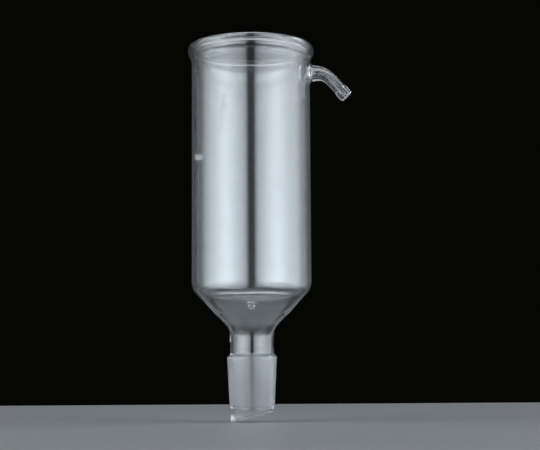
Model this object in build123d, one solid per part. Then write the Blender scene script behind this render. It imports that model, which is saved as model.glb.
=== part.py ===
from build123d import *
import os
from math import atan2, cos, degrees, radians, sin, sqrt

os.makedirs("parts", exist_ok=True)

# Frame: origin on the axis at the large end of the ground joint, +Z up to the open rim, +X to the side arm.
# All lengths are in millimetres.

# male ground joint 34/35, taper 1:10 on the diameter, and the cut tube below it
JOINT_R = 17.25
TAPER = 0.05
GROUND_LEN = 33.2
JOINT_TOP_Z = 2.8
JOINT_END_Z = -35.4
TIP_R = 14.8
TIP_WALL = 2.0
TIP_HIGH_Z = -37.2
TIP_LOW_Z = -44.0

# jacket, shoulder, funnel and neck
JACKET_R = 42.1
WALL = 2.2
SHOULDER_Z = 52.3
SHOULDER_BEND = 15.4
CONE_OFFSET = 3.8
CONE_SEAL_Z = 29.8
NECK_R = 15.1
NECK_BEND = 14.0
NECK_Z = 13.1

# well
WELL_R = 36.5
WELL_WALL = 2.0
WELL_CORNER = 7.5
WELL_CORNER_Z = 49.0
WELL_BOTTOM_Z = 38.0
NIPPLE_R = 2.4
NIPPLE_END_Z = 33.7
NIPPLE_ROOT_R = 4.4
NIPPLE_ROOT_Z = 38.2

# rim
SEAL_Z = 206.0
GROOVE_FLARE_Z = 207.4
GROOVE_TOP_Z = 214.9
LIP_Z = 215.4
LIP_R = 44.7
LIP_WIDE_Z = 214.4
TOP_R = 41.5
TOP_Z = 218.7

# spacer between well and jacket
SPACER_Z = 139.9
SPACER_R = 2.6

# longer than any wall is thick, for tools that cut or fill right through one
THROUGH = 20.0

# side arm
ARM_Z = 199.5
ARM_ROOT_R = 5.4
ARM_WAIST_R = 4.75
ARM_WAIST = 5.0
ARM_R = 4.2
ARM_BORE = 2.8
BOSS_HOLE_R = 5.6
BOSS_R = 7.7
BOSS_EDGE_X = 42.5
BOSS_END_X = 46.4
ARM_BEND = 14.0
ARM_ANGLE = 48.0
ARM_STRAIGHT = 9.1
HOSE_R = 4.85
HOSE_LEN = 7.4
HOSE_SWELL = 0.95
HOSE_MOUTH = 0.6


def turned(*edges):
    """Solid of revolution about Z from edges, drawn as (radius, height), that close an outline."""
    face = make_face(Plane.XZ * Curve(list(edges)))
    return revolve(face, Axis.Z)


def arc(centre, radius, start, end):
    """Arc about a centre, from one angle to another in degrees."""
    points = []
    for angle in (start, (start + end) / 2, end):
        a = radians(angle)
        points.append((centre[0] + radius * cos(a), centre[1] + radius * sin(a)))
    return ThreePointArc(*points)


def ring(inner, outer, low, high):
    """Plain tube about Z."""
    height = high - low
    tube = Cylinder(outer, height) - Cylinder(inner, height)
    return Pos(0, 0, (low + high) / 2) * tube


def save(shape, name):
    """Writes one sub-part as one closed solid."""
    solids = shape.solids()
    if len(solids) != 1:
        raise ValueError(f"{name} has {len(solids)} solids")
    solid = solids[0]
    solid.label = name
    export_step(solid, f"parts/{name}.step")
    print(name, round(solid.volume), "mm3")


# --- rim: lip bead and ring seal, turned together and parted at a level face ---


def rim_ring():
    """Well tube and jacket tube flared together, with the gap between them closed just below the bead."""
    well_in = WELL_R - WELL_WALL
    jacket_in = JACKET_R - WALL
    outside = Spline(
        (JACKET_R, SEAL_Z),
        (42.75, 208.8),
        (44.05, 211.8),
        (LIP_R, LIP_WIDE_Z),
        (44.35, 216.7),
        (43.3, 218.2),
        (TOP_R, TOP_Z),
        tangents=((0, 1), (-1, 0)),
    )
    inside = Spline(
        (TOP_R, TOP_Z),
        (39.9, 217.9),
        (38.5, 215.7),
        (36.9, 212.4),
        (35.3, 209.0),
        (well_in, SEAL_Z),
        tangents=((-1, 0), (-0.08, -1)),
    )
    groove = Spline(
        (WELL_R, SEAL_Z),
        (37.2, 208.9),
        (38.6, 212.0),
        (39.7, 214.0),
        (40.9, GROOVE_TOP_Z),
        (42.0, 214.0),
        (41.7, 211.4),
        (jacket_in, GROOVE_FLARE_Z),
        tangents=((0.08, 1), (0, -1)),
    )
    return turned(
        outside,
        inside,
        Line((well_in, SEAL_Z), (WELL_R, SEAL_Z)),
        groove,
        Line((jacket_in, GROOVE_FLARE_Z), (jacket_in, SEAL_Z)),
        Line((jacket_in, SEAL_Z), (JACKET_R, SEAL_Z)),
    )


whole_rim = rim_ring()
rim_lip = split(whole_rim, Plane.XY.offset(LIP_Z), keep=Keep.TOP)
ring_seal = split(whole_rim, Plane.XY.offset(LIP_Z), keep=Keep.BOTTOM)


# --- jacket, shoulder and funnel ---


def cone_edge_r(z):
    """Outer radius of the 45 degree cone at a height."""
    return z - CONE_OFFSET


def shoulder():
    """Bend from the jacket into the cone, down to the seal with the funnel."""
    centre = (JACKET_R - SHOULDER_BEND, SHOULDER_Z)
    outer_bend = arc(centre, SHOULDER_BEND, 0, -45)
    inner_bend = arc(centre, SHOULDER_BEND - WALL, -45, 0)
    outer_low = (cone_edge_r(CONE_SEAL_Z), CONE_SEAL_Z)
    inner_low = (outer_low[0] - WALL * sqrt(2), CONE_SEAL_Z)
    return turned(
        outer_bend,
        Line(outer_bend @ 1, outer_low),
        Line(outer_low, inner_low),
        Line(inner_low, inner_bend @ 0),
        inner_bend,
        Line(inner_bend @ 1, outer_bend @ 0),
    )


def funnel():
    """Lower cone, bending into the neck."""
    centre = (NECK_R + NECK_BEND, NECK_Z)
    outer_bend = arc(centre, NECK_BEND, 135, 180)
    inner_bend = arc(centre, NECK_BEND + WALL, 180, 135)
    outer_high = (cone_edge_r(CONE_SEAL_Z), CONE_SEAL_Z)
    inner_high = (outer_high[0] - WALL * sqrt(2), CONE_SEAL_Z)
    return turned(
        Line(outer_high, outer_bend @ 0),
        outer_bend,
        Line(outer_bend @ 1, inner_bend @ 0),
        inner_bend,
        Line(inner_bend @ 1, inner_high),
        Line(inner_high, outer_high),
    )


jacket_hole = Pos(JACKET_R, 0, ARM_Z) * Rot(0, 90, 0) * Cylinder(BOSS_HOLE_R, THROUGH)
jacket_tube = ring(JACKET_R - WALL, JACKET_R, SHOULDER_Z, SEAL_Z) - jacket_hole
shoulder_cone = shoulder()
neck_funnel = funnel()
neck_tube = ring(NECK_R - WALL, NECK_R, JOINT_TOP_Z, NECK_Z)


# --- ground joint and drip tip ---


def joint():
    """Male taper with a rounded shoulder above the ground zone and a rounded step below it."""
    bore = NECK_R - WALL
    ground_end = (JOINT_R - TAPER * GROUND_LEN, -GROUND_LEN)
    top = Spline((NECK_R, JOINT_TOP_Z), (15.9, 1.4), (JOINT_R, 0), tangents=((0, -1), (0.35, -1)))
    step = Spline(ground_end, (15.05, -34.5), (TIP_R, JOINT_END_Z), tangents=((-0.2, -1), (0, -1)))
    inside = Spline(
        (TIP_R - TIP_WALL, JOINT_END_Z),
        (12.95, -29.0),
        (13.9, -8.0),
        (13.95, -2.5),
        (bore, JOINT_TOP_Z),
        tangents=((0, 1), (0, 1)),
    )
    return turned(
        top,
        Line((JOINT_R, 0), ground_end),
        step,
        Line((TIP_R, JOINT_END_Z), (TIP_R - TIP_WALL, JOINT_END_Z)),
        inside,
        Line((bore, JOINT_TOP_Z), (NECK_R, JOINT_TOP_Z)),
    )


def tip():
    """Plain tube cut off along a slanted plane, its longest side away from the side arm."""
    tube = ring(TIP_R - TIP_WALL, TIP_R, TIP_LOW_Z - TIP_WALL, JOINT_END_Z)
    middle = (TIP_HIGH_Z + TIP_LOW_Z) / 2
    slope = degrees(atan2(TIP_HIGH_Z - TIP_LOW_Z, 2 * TIP_R))
    below = Pos(0, 0, -THROUGH / 2) * Box(4 * THROUGH, 4 * THROUGH, THROUGH)
    return tube - Pos(0, 0, middle) * Rot(0, -slope, 0) * below


ground_joint = joint()
drip_tip = tip()


# --- well ---


def dish_radius():
    """Radius of the shallow bottom that runs tangent into the corner bend."""
    c = WELL_R - WELL_CORNER
    h = WELL_CORNER_Z - WELL_BOTTOM_Z
    return (c * c + h * h - WELL_CORNER * WELL_CORNER) / (2 * (h - WELL_CORNER))


def dish(inner, outer):
    """Dished wall between two offsets, measured inwards from the well's outer surface."""
    radius = dish_radius()
    dish_centre = (0, WELL_BOTTOM_Z + radius)
    corner_centre = (WELL_R - WELL_CORNER, WELL_CORNER_Z)
    meet = degrees(atan2(corner_centre[1] - dish_centre[1], corner_centre[0]))
    low = arc(dish_centre, radius - outer, -90, meet)
    corner = arc(corner_centre, WELL_CORNER - outer, meet, 0)
    corner_in = arc(corner_centre, WELL_CORNER - inner, 0, meet)
    low_in = arc(dish_centre, radius - inner, meet, -90)
    return turned(
        low,
        corner,
        Line(corner @ 1, corner_in @ 0),
        corner_in,
        low_in,
        Line(low_in @ 1, low @ 0),
    )


def nipple():
    """Solid drip point with a rounded end, spread a little where it meets the dish."""
    blank_top = (0, WELL_BOTTOM_Z + 3)
    root = (NIPPLE_ROOT_R, NIPPLE_ROOT_Z)
    side = (NIPPLE_R, 35.6)
    blank = turned(
        Line((0, NIPPLE_END_Z), blank_top),
        Line(blank_top, (NIPPLE_ROOT_R, blank_top[1])),
        Line((NIPPLE_ROOT_R, blank_top[1]), root),
        Spline(root, (2.9, 37.2), side, tangents=((-1, -0.15), (0, -1))),
        Spline(side, (0.82 * NIPPLE_R, 34.3), (0, NIPPLE_END_Z), tangents=((0, -1), (-1, 0))),
    )
    radius = dish_radius()
    return blank - Pos(0, 0, WELL_BOTTOM_Z + radius) * Sphere(radius)


def spacer():
    """Small glass bridge from the well's outside to the jacket's inside, opposite the side arm."""
    rod = Pos(-(WELL_R + JACKET_R - WALL) / 2, 0, SPACER_Z) * Rot(0, 90, 0) * Cylinder(SPACER_R, THROUGH / 2)
    return rod & ring(WELL_R, JACKET_R - WALL, SPACER_Z - THROUGH / 2, SPACER_Z + THROUGH / 2)


well_tube = ring(WELL_R - WELL_WALL, WELL_R, WELL_CORNER_Z, SEAL_Z)
well_bottom = dish(WELL_WALL, 0)
drip_nipple = nipple()
spacer_knob = spacer()


# --- side arm ---


def boss():
    """Flared root: a plug in the jacket's hole and a skirt that lies on the jacket and the ring seal."""
    blank = turned(
        Line((0, WELL_R), (BOSS_R, WELL_R)),
        Line((BOSS_R, WELL_R), (BOSS_R, BOSS_EDGE_X)),
        Spline(
            (BOSS_R, BOSS_EDGE_X),
            (6.9, 43.1),
            (5.8, 44.6),
            (ARM_ROOT_R, BOSS_END_X),
            tangents=((-1, 0.12), (0, 1)),
        ),
        Line((ARM_ROOT_R, BOSS_END_X), (0, BOSS_END_X)),
        Line((0, BOSS_END_X), (0, WELL_R)),
    )
    blank = Pos(0, 0, ARM_Z) * Rot(0, 90, 0) * blank
    bore = Pos(JACKET_R, 0, ARM_Z) * Rot(0, 90, 0) * Cylinder(ARM_BORE, THROUGH)
    core = Pos(0, 0, ARM_Z) * Cylinder(JACKET_R - WALL, 2 * THROUGH)
    return blank - core - jacket_tube - ring_seal - bore


def arm_line():
    """Centre line of the arm, level at first and then bent down."""
    a = radians(ARM_ANGLE)
    start = (BOSS_END_X, 0, ARM_Z)
    mid = (
        BOSS_END_X + ARM_BEND * sin(a / 2),
        0,
        ARM_Z - ARM_BEND * (1 - cos(a / 2)),
    )
    bend_end = (BOSS_END_X + ARM_BEND * sin(a), 0, ARM_Z - ARM_BEND * (1 - cos(a)))
    end = (bend_end[0] + ARM_STRAIGHT * cos(a), 0, bend_end[2] - ARM_STRAIGHT * sin(a))
    return Wire([ThreePointArc(start, mid, bend_end), Line(bend_end, end)]), end


def bent_tube():
    """Arm tube drawn along its centre line, thicker towards its root."""
    path, _ = arm_line()
    radii = ((0, ARM_ROOT_R), (ARM_WAIST / path.length, ARM_WAIST_R), (1, ARM_R))
    sections = [Plane(origin=path @ t, z_dir=path % t) * Circle(r) for t, r in radii]
    outer = sweep(sections, path, multisection=True)
    inner = sweep(Plane(origin=path @ 0, z_dir=(1, 0, 0)) * Circle(ARM_BORE), path)
    return outer - inner


def olive():
    """Thickened hose end with a rounded mouth, turned about the arm's last direction."""
    _, end = arm_line()
    swell_end = (HOSE_R, HOSE_SWELL)
    mouth_start = (HOSE_R, HOSE_LEN - HOSE_MOUTH)
    mouth_end = (HOSE_R - HOSE_MOUTH, HOSE_LEN)
    blank = turned(
        Line((ARM_BORE, 0), (ARM_R, 0)),
        Spline((ARM_R, 0), (4.48, 0.45), swell_end, tangents=((0.25, 1), (0.1, 1))),
        Line(swell_end, mouth_start),
        Spline(mouth_start, (HOSE_R - 0.2, HOSE_LEN - 0.16), mouth_end, tangents=((0, 1), (-1, 0))),
        Line(mouth_end, (ARM_BORE, HOSE_LEN)),
        Line((ARM_BORE, HOSE_LEN), (ARM_BORE, 0)),
    )
    return Pos(*end) * Rot(0, 90 + ARM_ANGLE, 0) * blank


arm_boss = boss()
side_arm = bent_tube()
hose_end = olive()


for name, shape in (
    ("rim_lip", rim_lip),
    ("ring_seal", ring_seal),
    ("jacket_tube", jacket_tube),
    ("shoulder_cone", shoulder_cone),
    ("neck_funnel", neck_funnel),
    ("neck_tube", neck_tube),
    ("ground_joint", ground_joint),
    ("drip_tip", drip_tip),
    ("well_tube", well_tube),
    ("well_bottom", well_bottom),
    ("drip_nipple", drip_nipple),
    ("spacer_knob", spacer_knob),
    ("arm_boss", arm_boss),
    ("side_arm", side_arm),
    ("hose_end", hose_end),
):
    save(shape, name)
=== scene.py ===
from math import atan2, ceil, cos, exp, hypot, pi, radians, sin, sqrt, tau

import bpy
import numpy as np
from mathutils import Euler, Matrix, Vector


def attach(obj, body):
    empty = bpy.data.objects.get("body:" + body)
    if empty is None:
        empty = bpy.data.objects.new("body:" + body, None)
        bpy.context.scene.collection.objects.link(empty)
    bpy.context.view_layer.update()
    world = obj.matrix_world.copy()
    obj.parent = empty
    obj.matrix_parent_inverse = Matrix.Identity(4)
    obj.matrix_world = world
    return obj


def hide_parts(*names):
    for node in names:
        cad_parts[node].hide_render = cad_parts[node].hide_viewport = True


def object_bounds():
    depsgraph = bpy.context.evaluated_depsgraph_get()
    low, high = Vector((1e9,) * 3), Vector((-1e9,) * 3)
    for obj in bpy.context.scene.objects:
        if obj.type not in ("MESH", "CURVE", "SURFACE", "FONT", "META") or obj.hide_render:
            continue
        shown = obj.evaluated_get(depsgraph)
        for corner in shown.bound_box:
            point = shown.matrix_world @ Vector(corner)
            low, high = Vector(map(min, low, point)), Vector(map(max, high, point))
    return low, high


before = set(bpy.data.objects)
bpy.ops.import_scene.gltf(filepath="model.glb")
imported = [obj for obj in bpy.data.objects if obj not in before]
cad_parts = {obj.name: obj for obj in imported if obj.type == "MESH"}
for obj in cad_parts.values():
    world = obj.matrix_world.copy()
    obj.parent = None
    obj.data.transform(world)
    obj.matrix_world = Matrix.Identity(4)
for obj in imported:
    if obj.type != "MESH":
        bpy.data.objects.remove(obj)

cad_box = [list(corner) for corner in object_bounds()]

# Row frame of the CAD: origin on the axis at the ground joint's large end, +Z up, +X to the side arm.
# The outlines below are (radius, height) in millimetres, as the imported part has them.
MM = 0.001
SEGMENTS = 192

JACKET_R = 42.1
WALL = 2.2
SHOULDER_Z = 52.3
SHOULDER_BEND = 15.4
CONE_OFFSET = 3.8
CONE_SEAL_Z = 29.8
NECK_R = 15.1
NECK_BEND = 14.0
NECK_Z = 13.1
JOINT_TOP_Z = 2.8
JOINT_R = 17.25
TAPER = 0.05
GROUND_LEN = 33.2
JOINT_END_Z = -35.4
TIP_R = 14.8
TIP_WALL = 2.0
TIP_MID_Z = -40.6
TIP_SLANT = 3.4
WELL_R = 36.5
WELL_WALL = 2.0
WELL_CORNER = 7.5
WELL_CORNER_Z = 49.0
WELL_BOTTOM_Z = 38.0
NIPPLE_R = 2.4
NIPPLE_END_Z = 33.7
NIPPLE_ROOT_R = 4.4
SEAL_Z = 206.0
GROOVE_FLARE_Z = 207.4
GROOVE_TOP_Z = 214.9
LIP_Z = 215.4
LIP_R = 44.7
LIP_WIDE_Z = 214.4
TOP_R = 41.5
TOP_Z = 218.7
SPACER_Z = 139.9
SPACER_R = 2.6
ARM_Z = 199.5
ARM_ROOT_R = 5.4
ARM_WAIST_R = 4.75
ARM_WAIST = 5.0
ARM_R = 4.2
ARM_BORE = 2.8
BOSS_END_X = 46.4
ARM_BEND = 14.0
ARM_ANGLE = radians(48.0)
ARM_STRAIGHT = 9.1
HOSE_R = 4.85
HOSE_LEN = 7.4
# radius of the side arm's root where it meets the jacket's outer skin, how much more that is at the top and less
# at the bottom, and its radius on the inner skin
ROOT_REACH = 7.8
ROOT_REACH_UP = 0.4
ROOT_REACH_IN = 4.8
SPACER_GAP = 0.03

# rows this far apart along plain tubes
TUBE_ROW = 5
# The side arm's root breaks the jacket's two skins over a window this many rows high and columns wide.
WINDOW = 16
WINDOW_ROW_OUT = 1.375
WINDOW_ROW_IN = 1.1

# flame seals: (radius, height, swelling, reach)
SEALS = (
    (JACKET_R, SEAL_Z - 1, 0.10, 2.2),
    (JACKET_R, SHOULDER_Z, 0.08, 3.0),
    (26.0, CONE_SEAL_Z, 0.22, 1.3),
    (NECK_R, NECK_Z, 0.12, 2.2),
    (NECK_R, JOINT_TOP_Z + 1.5, 0.10, 1.5),
    (WELL_R, WELL_CORNER_Z, 0.12, 3.0),
    (WELL_R, SEAL_Z, 0.10, 2.5),
)
# unevenness left by hand work, by height: (low, high, millimetres)
WORKED = ((26.0, 52.0, 0.03), (207.0, 219.0, 0.04), (6.0, 26.0, 0.03))

# steps in which a curve goes from one knot to the next, unless told otherwise
CURVE_STEPS = 8

# material slots of every piece of glass
CLEAR, GROUND = 0, 1
GLASS_IOR = 1.474

# Studio, in metres, degrees round the object from the camera's side, and watts for the lamps.
LAMP_COLOUR = (0.86, 0.92, 1.0, 1)
WING_R = 1.7
WING_HEIGHTS = (-1.0, 1.6)
WING_END = 160
WING_STEP = 5
WING_STRENGTH = 4.2
# A wing is at full strength up to WING_FADE of its height, and at WING_TOP of it at its upper edge.
WING_FADE = 0.35
WING_TOP = 0.5
# brightness of a wing in a ray that nothing has reflected yet, against 1 in one that has been reflected
WING_BACKDROP = 0.01
# (azimuth, brightness): both wings are the same at the front, where the camera stands in the dim part
WING_FRONT = [(0, 0.055), (5, 0.06), (8, 0.2), (12, 0.42), (20, 0.62), (30, 0.75), (42, 0.9), (52, 1.0)]
WING_REAR_LEFT = [
    (62, 0.93), (75, 0.74), (90, 0.5), (105, 0.27), (114, 0.15), (122, 0.04), (135, 0.016),
    (WING_END - 2, 0.03), (WING_END, 0),
]
WING_REAR_RIGHT = [
    (65, 1.0), (80, 0.82), (95, 0.63), (110, 0.46), (120, 0.26), (131, 0.08), (142, 0.03),
    (WING_END - 2, 0.03), (WING_END, 0),
]
CEILING_HALF = 1.3
CEILING_REAR = 2.0
CEILING_HEIGHT = 1.3
CEILING_STRENGTH = 0.4
FILL_WATTS = 10.0
FILL_COLOUR = (0.88, 0.94, 1.0)
FILL_SIZE = 1.6
FILL_PLACE = (1.25, -0.35, 0.4)
FLOOR_HALF = 0.3
FLOOR_GAP = 0.0004
# the table's glow in reflected rays, full within the first distance from the origin and gone at the second
FLOOR_GLOW = 0.95
FLOOR_GLOW_REACH = (0.06, 0.125)

CAMERA_PLACE = (0, -0.8811, 0.0032)
CAMERA_LENS = 84.46
CAMERA_TILT, CAMERA_PAN, CAMERA_ROLL = radians(5.741), radians(0.842), radians(0.33)

CLEAR_BOUNCES = 24
GLOSSY_BOUNCES = 12


# --- outlines: lists of (radius, height) ---


def line(a, b, step):
    """Evenly spaced points from a to b."""
    n = max(1, ceil(hypot(b[0] - a[0], b[1] - a[1]) / step))
    return [(a[0] + (b[0] - a[0]) * i / n, a[1] + (b[1] - a[1]) * i / n) for i in range(n + 1)]


def arc(centre, radius, start, end, steps):
    """Points on an arc, its angles in degrees."""
    points = []
    for i in range(steps + 1):
        a = radians(start + (end - start) * i / steps)
        points.append((centre[0] + radius * cos(a), centre[1] + radius * sin(a)))
    return points


def curve(knots, start, end, steps=CURVE_STEPS):
    """Smooth line through knots, with a given direction at its first and last knot."""
    p = [np.array(k, float) for k in knots]
    slopes = []
    for i in range(len(p)):
        if i == 0 or i == len(p) - 1:
            way = np.array(start if i == 0 else end, float)
            near = np.linalg.norm(p[1] - p[0] if i == 0 else p[-1] - p[-2])
            slopes.append(way / np.linalg.norm(way) * near)
        else:
            before, after = np.linalg.norm(p[i] - p[i - 1]), np.linalg.norm(p[i + 1] - p[i])
            way = (p[i] - p[i - 1]) / before * after + (p[i + 1] - p[i]) / after * before
            slopes.append(way / (before + after))
    points = [tuple(p[0])]
    for i in range(len(p) - 1):
        span = np.linalg.norm(p[i + 1] - p[i])
        m0 = slopes[i] if i == 0 else slopes[i] * span
        m1 = slopes[i + 1] if i == len(p) - 2 else slopes[i + 1] * span
        for k in range(1, steps + 1):
            t = k / steps
            h = (2 * t**3 - 3 * t**2 + 1, t**3 - 2 * t**2 + t, -2 * t**3 + 3 * t**2, t**3 - t**2)
            points.append(tuple(h[0] * p[i] + h[1] * m0 + h[2] * p[i + 1] + h[3] * m1))
    return points


def joined(*parts):
    """One outline from stretches that follow each other."""
    points = list(parts[0])
    for part in parts[1:]:
        points += part[1:]
    return points


def dish(offset):
    """The well's bottom from the axis to its tube, offset millimetres inside its outer surface."""
    c, h = WELL_R - WELL_CORNER, WELL_CORNER_Z - WELL_BOTTOM_Z
    radius = (c * c + h * h - WELL_CORNER**2) / (2 * (h - WELL_CORNER))
    centre = (0, WELL_BOTTOM_Z + radius)
    meet = atan2(WELL_CORNER_Z - centre[1], c) * 180 / pi
    low = arc(centre, radius - offset, -90, meet, 36)
    corner = arc((c, WELL_CORNER_Z), WELL_CORNER - offset, meet, 0, 20)
    return joined(low, corner)


def cone_skin(inside):
    """Shoulder and funnel outlines, from the jacket down to the neck."""
    wall = WALL if inside else 0
    edge = CONE_SEAL_Z - CONE_OFFSET - wall * sqrt(2)
    bend = arc((JACKET_R - SHOULDER_BEND, SHOULDER_Z), SHOULDER_BEND - wall, 0, -45, 18)
    shoulder = joined(bend, line(bend[-1], (edge, CONE_SEAL_Z), 1.0))
    bend = arc((NECK_R + NECK_BEND, NECK_Z), NECK_BEND + wall, 135, 180, 18)
    funnel = joined(line((edge, CONE_SEAL_Z), bend[0], 1.0), bend)
    return shoulder, funnel


def cut_end(tip_in):
    """The drip tip's skin, down inside, round the cut's two fire-polished edges and up outside."""
    inner_edge = [(tip_in, TIP_MID_Z + 0.45), (tip_in + 0.2, TIP_MID_Z + 0.08), (tip_in + 0.6, TIP_MID_Z)]
    outer_edge = [(TIP_R - 0.6, TIP_MID_Z), (TIP_R - 0.2, TIP_MID_Z + 0.08), (TIP_R, TIP_MID_Z + 0.45)]
    return joined(
        line((tip_in, JOINT_END_Z), inner_edge[0], 0.8),
        curve(inner_edge, (0, -1), (1, 0), 4),
        line(inner_edge[-1], outer_edge[0], 0.4),
        curve(outer_edge, (1, 0), (0, 1), 4),
        line(outer_edge[-1], (TIP_R, JOINT_END_Z), 0.8),
    )


def body_outline():
    """The whole glass body as one unbroken skin, as (piece, material, points) in order.

    It runs from the drip point up between the walls, down inside to the cut tip, up outside to the rim and
    down into the well.
    """
    well_in, jacket_in, neck_in = WELL_R - WELL_WALL, JACKET_R - WALL, NECK_R - WALL
    tip_in, bottom_out, bottom_in = TIP_R - TIP_WALL, dish(0), dish(WELL_WALL)
    root = next(i for i, p in enumerate(bottom_out) if p[0] > NIPPLE_ROOT_R)
    nipple = joined(
        curve([(0, NIPPLE_END_Z), (NIPPLE_R * 0.8, 34.25), (NIPPLE_R, 35.5)], (1, 0), (0, 1)),
        curve([(NIPPLE_R, 35.5), (2.9, 37.1), bottom_out[root]], (0, 1), (1, 0.06)),
    )
    groove_in = [(WELL_R, SEAL_Z), (37.2, 208.9), (38.6, 212.0), (39.7, 214.0), (40.9, GROOVE_TOP_Z)]
    groove_out = [(42.0, 214.0), (41.7, 211.4), (jacket_in, GROOVE_FLARE_Z)]
    groove = joined(
        curve(groove_in + groove_out, (0.08, 1), (0, -1)),
        line((jacket_in, GROOVE_FLARE_Z), (jacket_in, SEAL_Z), WINDOW_ROW_IN),
    )
    shoulder_in, funnel_in = cone_skin(True)
    shoulder_out, funnel_out = cone_skin(False)
    joint_knots = [(neck_in, JOINT_TOP_Z), (13.95, -2.5), (13.9, -8), (12.95, -29), (tip_in, JOINT_END_Z)]
    joint_in = curve(joint_knots, (0, -1), (0, -1))
    ground_end = (JOINT_R - TAPER * GROUND_LEN, -GROUND_LEN)
    step = curve([(TIP_R, JOINT_END_Z), (15.05, -34.5), ground_end], (0, 1), (0.2, 1), 5)
    bevel = curve([(JOINT_R, 0), (15.9, 1.4), (NECK_R, JOINT_TOP_Z)], (-0.35, 1), (0, 1), 5)
    flare_knots = [(JACKET_R, SEAL_Z), (42.75, 208.8), (44.05, 211.8), (LIP_R, LIP_WIDE_Z)]
    flare_knots += [(44.35, 216.7), (43.3, 218.2), (TOP_R, TOP_Z)]
    flare = curve(flare_knots, (0, 1), (-1, 0))
    inside_knots = [(TOP_R, TOP_Z), (39.9, 217.9), (38.5, 215.7), (36.9, 212.4)]
    inside_knots += [(35.3, 209.0), (well_in, SEAL_Z)]
    inside = curve(inside_knots, (-1, 0), (-0.08, -1))
    # The jacket keeps the flare's first stretch, in two steps. The lip starts above LIP_Z.
    low = CURVE_STEPS
    high = next(i for i, p in enumerate(flare) if p[1] > LIP_Z)
    window_in = (jacket_in, SEAL_Z - (WINDOW + 2) * WINDOW_ROW_IN)
    window_out = (JACKET_R, SEAL_Z - (WINDOW - 2) * WINDOW_ROW_OUT)
    back = next(i for i, p in enumerate(inside) if p[1] < LIP_Z)
    wall_in = joined(
        line((jacket_in, SEAL_Z), window_in, WINDOW_ROW_IN),
        line(window_in, (jacket_in, SHOULDER_Z), TUBE_ROW),
    )
    wall_out = joined(
        line((JACKET_R, SHOULDER_Z), window_out, TUBE_ROW),
        line(window_out, flare[0], WINDOW_ROW_OUT),
        flare[: low + 1 : low // 2],
    )
    return [
        ("drip_nipple", CLEAR, nipple),
        ("well_bottom", CLEAR, bottom_out[root:]),
        ("well_tube", CLEAR, line((WELL_R, WELL_CORNER_Z), (WELL_R, SEAL_Z), TUBE_ROW)),
        ("ring_seal", CLEAR, groove),
        ("jacket_tube", CLEAR, wall_in),
        ("shoulder_cone", CLEAR, shoulder_in),
        ("neck_funnel", CLEAR, funnel_in),
        ("neck_tube", CLEAR, line((neck_in, NECK_Z), (neck_in, JOINT_TOP_Z), 1)),
        ("ground_joint", CLEAR, joint_in),
        ("drip_tip", CLEAR, cut_end(tip_in)),
        ("ground_joint", CLEAR, step),
        ("ground_joint", GROUND, line(ground_end, (JOINT_R, 0), 2)),
        ("ground_joint", CLEAR, bevel),
        ("neck_tube", CLEAR, line((NECK_R, JOINT_TOP_Z), (NECK_R, NECK_Z), 1)),
        ("neck_funnel", CLEAR, funnel_out[::-1]),
        ("shoulder_cone", CLEAR, shoulder_out[::-1]),
        ("jacket_tube", CLEAR, wall_out),
        ("ring_seal", CLEAR, flare[low : high + 1]),
        ("rim_lip", CLEAR, joined(flare[high:], inside[: back + 1])),
        ("ring_seal", CLEAR, inside[back:]),
        ("well_tube", CLEAR, line((well_in, SEAL_Z), (well_in, WELL_CORNER_Z), TUBE_ROW)),
        ("well_bottom", CLEAR, bottom_in[::-1]),
    ]


# --- the body's skin as a grid of points: rows follow the outline, columns go round the axis ---

def swelling(r, z):
    """How far a seal's bead lifts the skin there."""
    return sum(s[2] * exp(-(((r - s[0]) ** 2 + (z - s[1]) ** 2) / s[3] ** 2)) for s in SEALS)


def unevenness(r, z):
    """Size of the slow waves round the axis that hand work leaves."""
    total = 0.0
    for low, high, size in WORKED:
        t = min(1, max(0, min(z - low, high - z) / 5))
        total = max(total, size * t)
    return total * min(1, r / 10)


def body_grid():
    """Outline rows, points and normals of the body's skin, and its stretches.

    A stretch is (piece, material, first row, last row).
    """
    rows, stretches = [], []
    for piece, material, points in body_outline():
        if not rows:
            rows.append(points[0])
        stretches.append((piece, material, len(rows) - 1, len(rows) - 2 + len(points)))
        rows += points[1:]
    rows = np.array(rows)
    way = np.gradient(rows, axis=0)
    out = np.stack([way[:, 1], -way[:, 0]], 1)
    out /= np.linalg.norm(out, axis=1)[:, None]
    lift = np.array([swelling(r, z) for r, z in rows])
    rows = rows + out * lift[:, None]
    rows[0, 0] = rows[-1, 0] = 0
    turn = np.arange(SEGMENTS) * tau / SEGMENTS
    r = rows[:, :1] * np.ones(SEGMENTS)
    z = rows[:, 1:] * np.ones(SEGMENTS)
    size = np.array([unevenness(*row) for row in rows])[:, None]
    wave = np.sin(3 * turn + z * 0.09 + 1.0) + 0.7 * np.sin(5 * turn - z * 0.17 + 2.3)
    wave = wave + 0.5 * np.sin(8 * turn + z * 0.31)
    r = r + size * wave * out[:, :1]
    z = z + size * wave * out[:, 1:]
    share = np.clip((JOINT_END_Z - z) / (JOINT_END_Z - TIP_MID_Z), 0, 1)
    z = z + share * TIP_SLANT * np.cos(turn) * r / TIP_R
    grid = np.stack([r * np.cos(turn), r * np.sin(turn), z], 2)
    along = np.gradient(grid, axis=0)
    round_axis = np.roll(grid, -1, axis=1) - np.roll(grid, 1, axis=1)
    normals = np.cross(round_axis, along)
    normals[0] = (0, 0, -1)
    normals[-1] = (0, 0, 1)
    normals /= np.linalg.norm(normals, axis=2)[:, :, None]
    return rows, grid, normals, stretches


# --- pieces ---


def in_scene(made):
    """Links a new object to the scene, and returns it."""
    bpy.context.scene.collection.objects.link(made)
    return made


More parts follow.
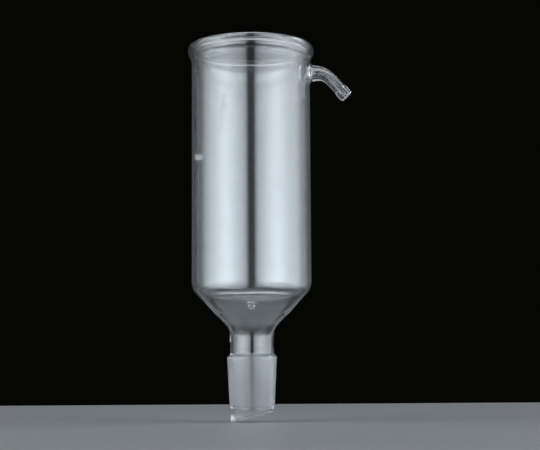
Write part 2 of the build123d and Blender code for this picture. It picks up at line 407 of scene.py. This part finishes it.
class Skin:
    """The faces of one piece, gathered before its mesh is made."""

    def __init__(self):
        self.points, self.normals, self.faces, self.materials = [], [], [], []

    def add(self, points, normals):
        """Adds points in millimetres and returns their numbers, in the same shape."""
        shape = np.array(points).shape[:-1]
        start = len(self.points)
        self.points += [tuple(p) for p in np.array(points).reshape(-1, 3)]
        self.normals += [tuple(n) for n in np.array(normals).reshape(-1, 3)]
        return np.arange(start, len(self.points)).reshape(shape)

    def face(self, corners, material):
        """Adds a face, less any corner named twice, unless nothing is left of it."""
        corners = list(dict.fromkeys(int(c) for c in corners))
        if len(corners) > 2:
            self.faces.append(corners)
            self.materials.append(material)

    def rings(self, numbers, material, flip=False, skip=()):
        """Faces between neighbouring closed rings of points."""
        count = numbers.shape[1]
        for i in range(len(numbers) - 1):
            for j in range(count):
                if (i, j) in skip:
                    continue
                k = (j + 1) % count
                quad = [numbers[i, j], numbers[i, k], numbers[i + 1, k], numbers[i + 1, j]]
                self.face(quad[::-1] if flip else quad, material)

    def make(self, name):
        """The finished object, in metres, with the skin's own normals."""
        mesh = bpy.data.meshes.new(name)
        used = sorted({c for f in self.faces for c in f})
        place = {c: i for i, c in enumerate(used)}
        points = [tuple(x * MM for x in self.points[c]) for c in used]
        mesh.from_pydata(points, [], [[place[c] for c in f] for f in self.faces])
        mesh.polygons.foreach_set("material_index", self.materials)
        mesh.polygons.foreach_set("use_smooth", [True] * len(mesh.polygons))
        mesh.normals_split_custom_set_from_vertices([self.normals[c] for c in used])
        mesh.update()
        return in_scene(bpy.data.objects.new(name, mesh))


rows, grid, grid_normals, stretches = body_grid()
skins = {}


def skin(name):
    """The gathered faces of the piece that replaces a CAD node."""
    return skins.setdefault(name, Skin())


def window(first):
    """Faces that the side arm's root takes out of a stretch, as (row, column), from a row on."""
    half = WINDOW // 2
    return {(first + i, j % SEGMENTS) for i in range(WINDOW) for j in range(-half, half)}


def window_loop(first):
    """Grid places round a window, anticlockwise seen from outside, from the lower corner on the -Y side."""
    half, last = WINDOW // 2, first + WINDOW
    low, high, up = (first, last, 1) if rows[first, 1] < rows[last, 1] else (last, first, -1)
    loop = [(low, j) for j in range(-half, half)]
    loop += [(i, half) for i in range(low, high, up)]
    loop += [(high, j) for j in range(half, -half, -1)]
    loop += [(i, -half) for i in range(high, low, -up)]
    return [(i, j % SEGMENTS) for i, j in loop]


def skin_at(y, z, first):
    """Point and normal of the body's skin near +X at a given y and z, in the window that starts at a row."""
    part = rows[first : first + WINDOW + 1]
    if part[0, 1] > part[-1, 1]:
        part = part[::-1]
    r = np.interp(z, part[:, 1], part[:, 0])
    above, below = (np.interp(z + dz, part[:, 1], part[:, 0]) for dz in (0.05, -0.05))
    slope = (above - below) / 0.1
    x = sqrt(r * r - y * y)
    n = np.array([x, y, -slope * r])
    return np.array([x, y, z]), n / np.linalg.norm(n)


def even_angles():
    """Angles round the arm that a window's places are led to, from +Y towards +Z."""
    return -3 / 4 * pi + np.arange(4 * WINDOW) * tau / (4 * WINDOW)


def arm_root(loop, first, reach, reach_up, end_r, outward, layers=14):
    """Points and normals of rings from the body's skin into the arm.

    reach is the first ring's radius, reach_up how much more it is at the top and less at the bottom, and
    end_r the last ring's radius.
    """
    seen = np.unwrap([atan2(grid[i, j, 2] - ARM_Z, grid[i, j, 1]) for i, j in loop])
    rings, normals = [], []
    for k in range(layers + 1):
        t = k / layers
        turn = t * pi / 2
        ring, ring_normals = [], []
        for a in seen + (even_angles() - seen) * t * t * (3 - 2 * t):
            wide = reach + reach_up * sin(a)
            shrink = wide - end_r
            r = wide - shrink * sin(turn)
            foot, up = skin_at(r * cos(a), ARM_Z + r * sin(a), first)
            depth = BOSS_END_X - foot[0]
            ring.append((foot[0] + depth * (1 - cos(turn)), r * cos(a), ARM_Z + r * sin(a)))
            n = up * cos(turn) * shrink + np.array([0, cos(a), sin(a)]) * sin(turn) * depth
            ring_normals.append(n / np.linalg.norm(n) * outward)
        rings.append(ring)
        normals.append(ring_normals)
    return np.array(rings), np.array(normals)


def close_window(piece, loop, ring, ring_normals, first, outward, layers=3):
    """Fills between a window's edge in the jacket and the arm root's first ring, on the body's skin."""
    edge = [grid[i, j] for i, j in loop]
    rings, normals = [edge], [[grid_normals[i, j] for i, j in loop]]
    for k in range(1, layers):
        t = k / layers
        found = [skin_at(*((1 - t) * a[1:] + t * b[1:]), first) for a, b in zip(edge, ring)]
        rings.append([point for point, _ in found])
        normals.append([normal * outward for _, normal in found])
    rings.append(ring)
    normals.append(ring_normals)
    piece.rings(piece.add(rings, normals), CLEAR, flip=outward < 0)


def arm_place(s):
    """Centre and up direction of the arm at a length along it."""
    a = min(s / ARM_BEND, ARM_ANGLE)
    rest = max(0, s - ARM_BEND * ARM_ANGLE)
    x = BOSS_END_X + ARM_BEND * sin(a) + rest * cos(a)
    z = ARM_Z - ARM_BEND * (1 - cos(a)) - rest * sin(a)
    return np.array([x, 0, z]), np.array([sin(a), 0, cos(a)])


def arm_outline():
    """The arm's skin, outside and back inside, and the hose end's first and last row.

    The skin is (length along the arm, radius).
    """
    length = ARM_BEND * ARM_ANGLE + ARM_STRAIGHT
    end = length + HOSE_LEN
    outside = curve([(0, ARM_ROOT_R), (ARM_WAIST, ARM_WAIST_R), (length, ARM_R)], (1, -0.06), (1, 0), 14)
    step = [(length, ARM_R), (length + 0.5, 4.42), (length + 1.1, 4.74), (length + 1.9, HOSE_R)]
    mouth = [(end - 0.9, HOSE_R), (end - 0.25, 4.6), (end, 3.85), (end - 0.22, 3.1), (end - 0.9, ARM_BORE)]
    olive = joined(
        curve(step, (1, 0), (1, 0), 4),
        line(step[-1], mouth[0], 1),
        curve(mouth, (1, 0), (-1, 0), 5),
        line(mouth[-1], (length, ARM_BORE), 1),
    )
    inside = line((length, ARM_BORE), (0, ARM_BORE), 0.7)
    return joined(outside, olive, inside), len(outside) - 1, len(outside) + len(olive) - 2


def arm_grid(outline):
    """Points and normals of the arm's skin."""
    points = []
    for s, r in outline:
        centre, up = arm_place(s)
        points.append([centre + r * (np.array([0, cos(a), 0]) + sin(a) * up) for a in even_angles()])
    points = np.array(points)
    along = np.gradient(points, axis=0)
    about = np.roll(points, -1, axis=1) - np.roll(points, 1, axis=1)
    normals = np.cross(about, along)
    return points, normals / np.linalg.norm(normals, axis=2)[:, :, None]


def build_body():
    """Shares the body's skin out to its pieces, and returns the windows left for the side arm's root."""
    windows = []
    for piece, material, first, last in stretches:
        numbers = skin(piece).add(grid[first : last + 1], grid_normals[first : last + 1])
        if first == 0:
            numbers[0] = numbers[0, 0]
        if last == len(rows) - 1:
            numbers[-1] = numbers[-1, 0]
        skip = ()
        if piece == "jacket_tube":
            outside = rows[first, 1] < rows[last, 1]
            start = last - WINDOW if outside else first + 1
            skip = window(start - first)
            windows.append((start, 1 if outside else -1))
        skin(piece).rings(numbers, material, skip=skip)
    return windows


def build_arm(windows):
    """Root, bent tube and hose end of the side arm."""
    for first, outward in windows:
        loop = window_loop(first)
        root = (ROOT_REACH, ROOT_REACH_UP, ARM_ROOT_R) if outward > 0 else (ROOT_REACH_IN, 0, ARM_BORE)
        rings, normals = arm_root(loop, first, *root, outward)
        close_window(skin("jacket_tube"), loop, rings[0], normals[0], first, outward)
        skin("arm_boss").rings(skin("arm_boss").add(rings, normals), CLEAR, flip=outward < 0)
    outline, start, stop = arm_outline()
    points, normals = arm_grid(outline)
    shares = (("side_arm", 0, start), ("hose_end", start, stop), ("side_arm", stop, len(outline) - 1))
    for piece, a, b in shares:
        skin(piece).rings(skin(piece).add(points[a : b + 1], normals[a : b + 1]), CLEAR)


def build_spacer():
    """Glass bridge from the well to the jacket on the -X side, necked, with ends that follow both walls."""
    inner, outer = WELL_R + SPACER_GAP, JACKET_R - WALL - SPACER_GAP
    angles = np.arange(40) * tau / 40
    outline = [(0, r) for r in np.linspace(0.05, SPACER_R, 6)]
    outline += [(t, SPACER_R - 0.75 * sin(pi * t) ** 0.8) for t in np.linspace(0.04, 0.96, 15)]
    outline += [(1, r) for r in np.linspace(SPACER_R, 0.05, 6)]
    points = []
    for t, r in outline:
        ring = []
        for a in angles:
            y, z = r * cos(a), r * sin(a)
            near, far = -sqrt(inner**2 - y * y), -sqrt(outer**2 - y * y)
            ring.append((near + (far - near) * t, y, SPACER_Z + z))
        points.append(ring)
    points = np.array(points)
    along = np.gradient(points, axis=0)
    about = np.roll(points, -1, axis=1) - np.roll(points, 1, axis=1)
    normals = -np.cross(about, along)
    normals[:5] = (1, 0, 0)
    normals[-5:] = (-1, 0, 0)
    normals /= np.linalg.norm(normals, axis=2)[:, :, None]
    numbers = skin("spacer_knob").add(points, normals)
    numbers[0] = numbers[0, 0]
    numbers[-1] = numbers[-1, 0]
    skin("spacer_knob").rings(numbers, CLEAR, flip=True)


# --- materials ---


def material(name):
    """A new node material: its nodes, links and shader."""
    made = bpy.data.materials.new(name)
    made.use_nodes = True
    nodes, links = made.node_tree.nodes, made.node_tree.links
    return made, nodes, links, nodes["Principled BSDF"]


def noise(nodes, links, where, scale, detail=2.0, stretch=(1, 1, 1)):
    """Noise texture in object space, stretched if asked, as an output socket."""
    mapping = nodes.new("ShaderNodeMapping")
    mapping.inputs["Scale"].default_value = stretch
    texture = nodes.new("ShaderNodeTexNoise")
    texture.inputs["Scale"].default_value = scale
    texture.inputs["Detail"].default_value = detail
    links.new(where, mapping.inputs["Vector"])
    links.new(mapping.outputs["Vector"], texture.inputs["Vector"])
    return texture.outputs["Fac"]


def ramp(nodes, links, value, low, high, start, end):
    """A value mapped from low..high to start..end, held at the ends."""
    node = nodes.new("ShaderNodeMapRange")
    for name, number in (("From Min", low), ("From Max", high), ("To Min", start), ("To Max", end)):
        node.inputs[name].default_value = number
    links.new(value, node.inputs["Value"])
    return node.outputs["Result"]


def bump(nodes, links, height, distance, strength, before=None):
    """Bump node, after another one if given, as its normal socket."""
    node = nodes.new("ShaderNodeBump")
    node.inputs["Strength"].default_value = strength
    node.inputs["Distance"].default_value = distance
    links.new(height, node.inputs["Height"])
    if before is not None:
        links.new(before, node.inputs["Normal"])
    return node.outputs["Normal"]


def product(nodes, links, a, b):
    """The product of two values, as an output socket."""
    node = nodes.new("ShaderNodeMath")
    node.operation = "MULTIPLY"
    links.new(a, node.inputs[0])
    links.new(b, node.inputs[1])
    return node.outputs["Value"]


def reflected(nodes, links, before, after):
    """One value in rays that nothing has reflected yet, another in those that have been reflected."""
    depth = nodes.new("ShaderNodeLightPath").outputs["Glossy Depth"]
    return ramp(nodes, links, depth, 0, 1, before, after)


def clear_glass():
    """Fire-polished borosilicate: clear, with drawn waves along the tube and a film of handling marks."""
    made, nodes, links, shader = material("clear_borosilicate")
    where = nodes.new("ShaderNodeTexCoord").outputs["Object"]
    shader.inputs["Base Color"].default_value = (0.955, 0.975, 0.975, 1)
    shader.inputs["Transmission Weight"].default_value = 1
    shader.inputs["IOR"].default_value = GLASS_IOR
    film = noise(nodes, links, where, 34, 4)
    links.new(ramp(nodes, links, film, 0.5, 0.72, 0.0, 0.035), shader.inputs["Roughness"])
    drawn = noise(nodes, links, where, 60, 1, (1, 1, 0.12))
    links.new(bump(nodes, links, drawn, 0.0004, 0.06), shader.inputs["Normal"])
    return made


def ground_glass():
    """Fine-ground taper: frosted, with the grinding wheel's faint rings."""
    made, nodes, links, shader = material("ground_borosilicate")
    where = nodes.new("ShaderNodeTexCoord").outputs["Object"]
    shader.inputs["Base Color"].default_value = (0.93, 0.95, 0.97, 1)
    shader.inputs["Transmission Weight"].default_value = 0.6
    shader.inputs["Specular IOR Level"].default_value = 0.85
    shader.inputs["IOR"].default_value = GLASS_IOR
    grain = noise(nodes, links, where, 2600, 3)
    rings = noise(nodes, links, where, 1500, 2, (0.04, 0.04, 1))
    links.new(ramp(nodes, links, grain, 0.3, 0.7, 0.15, 0.25), shader.inputs["Roughness"])
    coarse = bump(nodes, links, grain, 0.00004, 0.3)
    links.new(bump(nodes, links, rings, 0.00003, 0.35, coarse), shader.inputs["Normal"])
    return made


def dress(pieces):
    """Materials, CAD node, body and finish of every piece of glass."""
    looks = (clear_glass(), ground_glass())
    for node, piece in pieces.items():
        for look in looks:
            piece.data.materials.append(look)
        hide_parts(node)
        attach(piece, "root")


# --- studio ---


def level_mesh(name, x, y, z):
    """One level rectangle, from its ranges in x and y."""
    mesh = bpy.data.meshes.new(name)
    mesh.from_pydata([(x[0], y[0], z), (x[1], y[0], z), (x[1], y[1], z), (x[0], y[1], z)], [], [(0, 1, 2, 3)])
    return mesh


def floor():
    """Plain pale table top under the object. Its middle glows in reflections only, for the cone above it."""
    made, nodes, links, shader = material("pale_table")
    where = nodes.new("ShaderNodeTexCoord").outputs["Object"]
    grain = noise(nodes, links, where, 220, 5)
    colour = nodes.new("ShaderNodeMix")
    colour.data_type = "RGBA"
    colour.inputs["A"].default_value = (0.60, 0.61, 0.62, 1)
    colour.inputs["B"].default_value = (0.66, 0.67, 0.68, 1)
    links.new(grain, colour.inputs["Factor"])
    links.new(colour.outputs["Result"], shader.inputs["Base Color"])
    shader.inputs["Roughness"].default_value = 0.55
    shader.inputs["Emission Color"].default_value = LAMP_COLOUR
    away = nodes.new("ShaderNodeVectorMath")
    away.operation = "LENGTH"
    links.new(where, away.inputs[0])
    middle = ramp(nodes, links, away.outputs["Value"], *FLOOR_GLOW_REACH, 1, 0)
    glow = product(nodes, links, reflected(nodes, links, 0, FLOOR_GLOW), middle)
    links.new(glow, shader.inputs["Emission Strength"])
    made.cycles.emission_sampling = "NONE"
    links.new(bump(nodes, links, grain, 0.0004, 0.15), shader.inputs["Normal"])
    across = (-FLOOR_HALF, FLOOR_HALF)
    mesh = level_mesh("table_top", across, across, cad_box[0][2] - FLOOR_GAP)
    mesh.materials.append(made)
    in_scene(bpy.data.objects.new("table_top", mesh))


def glowing(name):
    """A material with only an emission shader in it: the material, its nodes, links and shader."""
    made = bpy.data.materials.new(name)
    made.use_nodes = True
    nodes, links = made.node_tree.nodes, made.node_tree.links
    nodes.clear()
    glow = nodes.new("ShaderNodeEmission")
    glow.inputs["Color"].default_value = LAMP_COLOUR
    links.new(glow.outputs["Emission"], nodes.new("ShaderNodeOutputMaterial").inputs["Surface"])
    return made, nodes, links, glow


def soft_wing(name, side, profile):
    """Curved light panel round one side. profile is (azimuth, brightness) from front to rear."""
    low, high = WING_HEIGHTS
    columns = range(0, WING_END + 1, WING_STEP)
    mesh = bpy.data.meshes.new(name)
    points, places = [], []
    for azimuth in columns:
        a = radians(azimuth)
        for height in (low, high):
            points.append((side * sin(a) * WING_R, -cos(a) * WING_R, height))
            places.append((azimuth / WING_END, (height - low) / (high - low)))
    faces = [(2 * i, 2 * i + 2, 2 * i + 3, 2 * i + 1) for i in range(len(columns) - 1)]
    mesh.from_pydata(points, [], faces)
    layer = mesh.uv_layers.new(name="across")
    for loop in mesh.loops:
        layer.data[loop.index].uv = places[loop.vertex_index]
    made, nodes, links, glow = glowing(name)
    split = nodes.new("ShaderNodeSeparateXYZ")
    across = nodes.new("ShaderNodeValToRGB")
    links.new(nodes.new("ShaderNodeTexCoord").outputs["UV"], split.inputs["Vector"])
    links.new(split.outputs["X"], across.inputs["Fac"])
    stops = across.color_ramp.elements
    while len(stops) < len(profile):
        stops.new(0.5)
    for stop, (azimuth, brightness) in zip(stops, profile):
        stop.position = azimuth / WING_END
        stop.color = (brightness, brightness, brightness, 1)
    upward = ramp(nodes, links, split.outputs["Y"], WING_FADE, 1.0, WING_STRENGTH, WING_STRENGTH * WING_TOP)
    strength = product(nodes, links, across.outputs["Color"], upward)
    strength = product(nodes, links, strength, reflected(nodes, links, WING_BACKDROP, 1))
    links.new(strength, glow.inputs["Strength"])
    made.cycles.emission_sampling = "NONE"
    mesh.materials.append(made)
    wing = in_scene(bpy.data.objects.new(name, mesh))
    wing.visible_diffuse = False


def soft_ceiling():
    """Level light panel high over the object, longer towards the rear."""
    across, along = (-CEILING_HALF, CEILING_HALF), (-CEILING_HALF, CEILING_REAR)
    mesh = level_mesh("soft_ceiling", across, along, CEILING_HEIGHT)
    made, _, _, glow = glowing("soft_ceiling")
    glow.inputs["Strength"].default_value = CEILING_STRENGTH
    mesh.materials.append(made)
    ceiling = in_scene(bpy.data.objects.new("soft_ceiling", mesh))
    ceiling.visible_diffuse = False


def fill_light(name, side):
    """Large soft lamp at one side, for the frosted glass and the table. No reflection shows it."""
    data = bpy.data.lights.new(name, "AREA")
    data.shape = "DISK"
    data.size = FILL_SIZE
    data.energy = FILL_WATTS
    data.color = FILL_COLOUR
    lamp = in_scene(bpy.data.objects.new(name, data))
    lamp.location = (side * FILL_PLACE[0], FILL_PLACE[1], FILL_PLACE[2])
    lamp.rotation_euler = lamp.location.to_track_quat("Z", "Y").to_euler()
    lamp.visible_glossy = False
    lamp.visible_transmission = False


def studio():
    """A soft light wing round each side, dim at the camera and behind the object, in a dark room."""
    soft_wing("soft_wing_left", -1, WING_FRONT + WING_REAR_LEFT)
    soft_wing("soft_wing_right", 1, WING_FRONT + WING_REAR_RIGHT)
    soft_ceiling()
    fill_light("fill_left", -1)
    fill_light("fill_right", 1)
    world = bpy.data.worlds.new("dark_room")
    world.use_nodes = True
    background = world.node_tree.nodes["Background"]
    background.inputs["Color"].default_value = (0.0018, 0.0018, 0.0015, 1)
    background.inputs["Strength"].default_value = 1
    bpy.context.scene.world = world


def camera():
    """Long lens a little above the joint's level, tilted up at the body."""
    data = bpy.data.cameras.new("camera")
    data.lens = CAMERA_LENS
    data.sensor_width = 36
    eye = in_scene(bpy.data.objects.new("camera", data))
    eye.location = CAMERA_PLACE
    eye.rotation_euler = Euler((pi / 2 + CAMERA_TILT, 0, -CAMERA_PAN))
    eye.rotation_euler.rotate_axis("Z", -CAMERA_ROLL)
    bpy.context.scene.camera = eye


build_arm(build_body())
build_spacer()
dress({name: made.make(name + "_glass") for name, made in skins.items()})
floor()
studio()
camera()

scene = bpy.context.scene
scene.cycles.max_bounces = CLEAR_BOUNCES
scene.cycles.transmission_bounces = CLEAR_BOUNCES
scene.cycles.glossy_bounces = GLOSSY_BOUNCES
scene.cycles.use_denoising = True
scene.view_settings.view_transform = "Standard"
